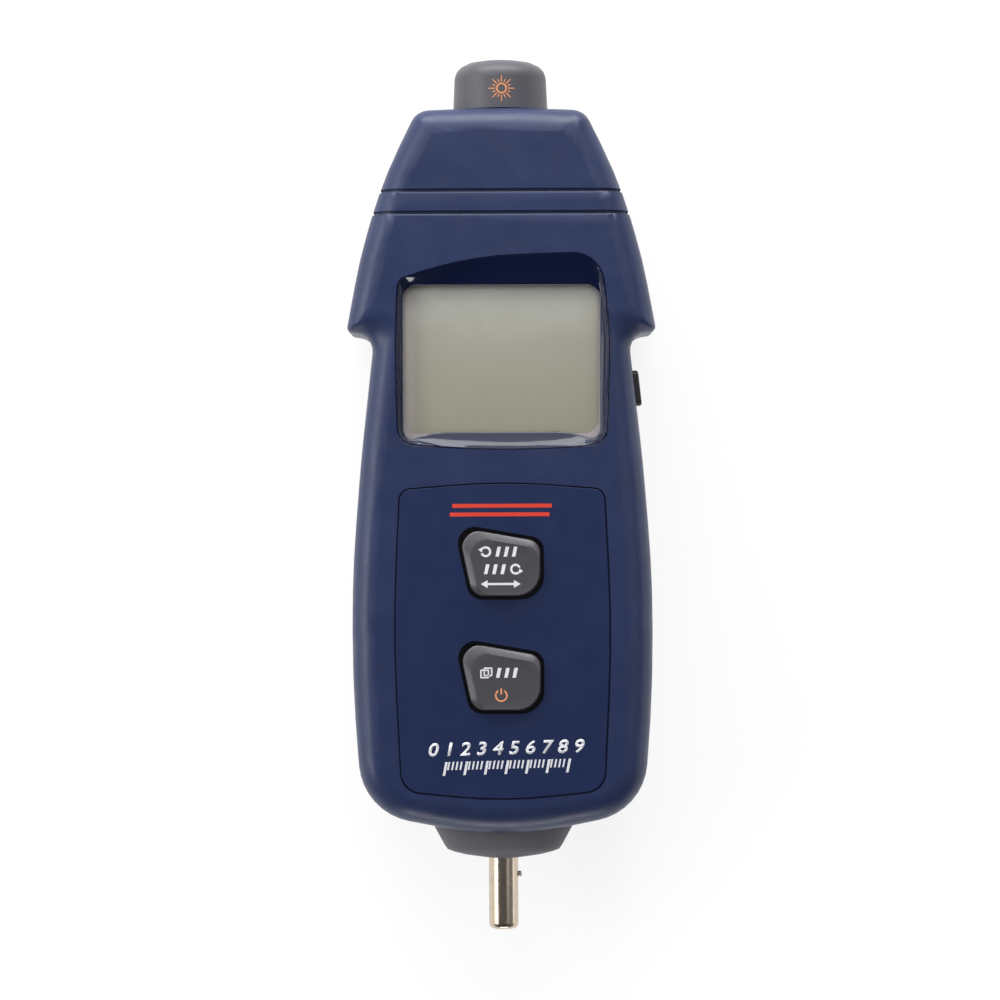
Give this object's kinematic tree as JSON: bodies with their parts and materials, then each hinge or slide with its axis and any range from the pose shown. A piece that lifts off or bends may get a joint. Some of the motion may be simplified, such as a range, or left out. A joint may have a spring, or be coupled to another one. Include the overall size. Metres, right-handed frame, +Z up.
{
  "type": "photo and contact tachometer",
  "caption": "Hand-held tachometer with a laser sensor cap, recessed display, push keys, a side button, a turning contact shaft and a sliding battery door.",
  "frame": {"origin": "middle of the case's rear face plane, under the middle of the overall box", "axes": "+Y along the length towards the sensor cap, +X to the right seen from the front, +Z up through the display, lying on its back"},
  "size_m": [0.0754, 0.215, 0.0375],
  "materials": {
    "case_plastic": "fine moulded grain, navy blue",
    "panel_film": "smooth satin, darker navy blue",
    "bezel_gloss": "polished",
    "clear_window": "clear",
    "display_glass": "satin polariser, grey olive",
    "white_plastic": "satin",
    "key_grey": "satin, mid grey",
    "plunger_red": "satin",
    "black_plastic": "satin",
    "button_black": "matt",
    "board_green": "solder mask",
    "cap_grey": "satin, mid grey",
    "nose_grey": "satin, dark grey",
    "brass": "turned",
    "lens_red": "clear, red filter",
    "diode_dark": "dark epoxy",
    "shaft_steel": "ground and polished",
    "spring_steel": "blackened",
    "screw_steel": "zinc plated",
    "contact_metal": "nickel plated",
    "cell_skin": "printed foil sleeve, plain"
  },
  "bodies": {
    "housing": {"front_case": "case_plastic", "rear_case": "case_plastic", "window_bezel": "bezel_gloss", "window_pane": "clear_window", "lcd_glass": "display_glass", "lcd_frame": "white_plastic", "panel_overlay": "panel_film", "mode_switch": "black_plastic", "memory_switch": "black_plastic", "test_switch": "black_plastic", "main_board": "board_green", "mcu_chip": "black_plastic", "quartz_crystal": "contact_metal", "sensor_cap": "cap_grey", "cap_nut": "black_plastic", "optics_holder": "black_plastic", "laser_module": "brass", "receiver_lens": "lens_red", "photodiode": "diode_dark", "sensor_board": "board_green", "nose_cone": "nose_grey", "front_bush": "brass", "rear_bush": "brass", "bearing_plate": "black_plastic", "opto_sensor": "black_plastic", "battery_tray": "black_plastic", "battery_1": "cell_skin", "battery_2": "cell_skin", "battery_3": "cell_skin", "battery_spring_1": "contact_metal", "battery_spring_2": "contact_metal", "battery_spring_3": "contact_metal", "contact_low": "contact_metal", "contact_high": "contact_metal", "case_screw_1": "screw_steel", "case_screw_2": "screw_steel", "case_screw_3": "screw_steel", "case_screw_4": "screw_steel"},
    "shaft": {"contact_shaft": "shaft_steel", "drive_pin": "shaft_steel", "retaining_ring": "spring_steel", "encoder_disc": "black_plastic"},
    "mode_key": {"mode_key": "key_grey", "mode_plunger": "plunger_red"},
    "memory_key": {"memory_key": "key_grey", "memory_plunger": "plunger_red"},
    "side_button": {"test_button": "button_black", "test_plunger": "white_plastic"},
    "battery_door": {"battery_door": "case_plastic"}
  },
  "joints": [
    {"name": "shaft_spin", "type": "hinge", "parent": "housing", "child": "shaft", "pos_m": [0, -0.09, 0.018], "axis": [0, 1, 0], "continuous": true},
    {"name": "mode_key_press", "type": "slide", "parent": "housing", "child": "mode_key", "axis": [0, 0, -1], "range_m": [0, 0.0008], "stiffness_N_per_m": 1500, "springref_m": -0.0004},
    {"name": "memory_key_press", "type": "slide", "parent": "housing", "child": "memory_key", "axis": [0, 0, -1], "range_m": [0, 0.0008], "stiffness_N_per_m": 1500, "springref_m": -0.0004},
    {"name": "test_button_press", "type": "slide", "parent": "housing", "child": "side_button", "axis": [-1, 0, 0], "range_m": [0, 0.001], "stiffness_N_per_m": 1200, "springref_m": -0.0004},
    {"name": "battery_door_slide", "type": "slide", "parent": "housing", "child": "battery_door", "axis": [0, -1, 0], "range_m": [0, 0.088]}
  ]
}
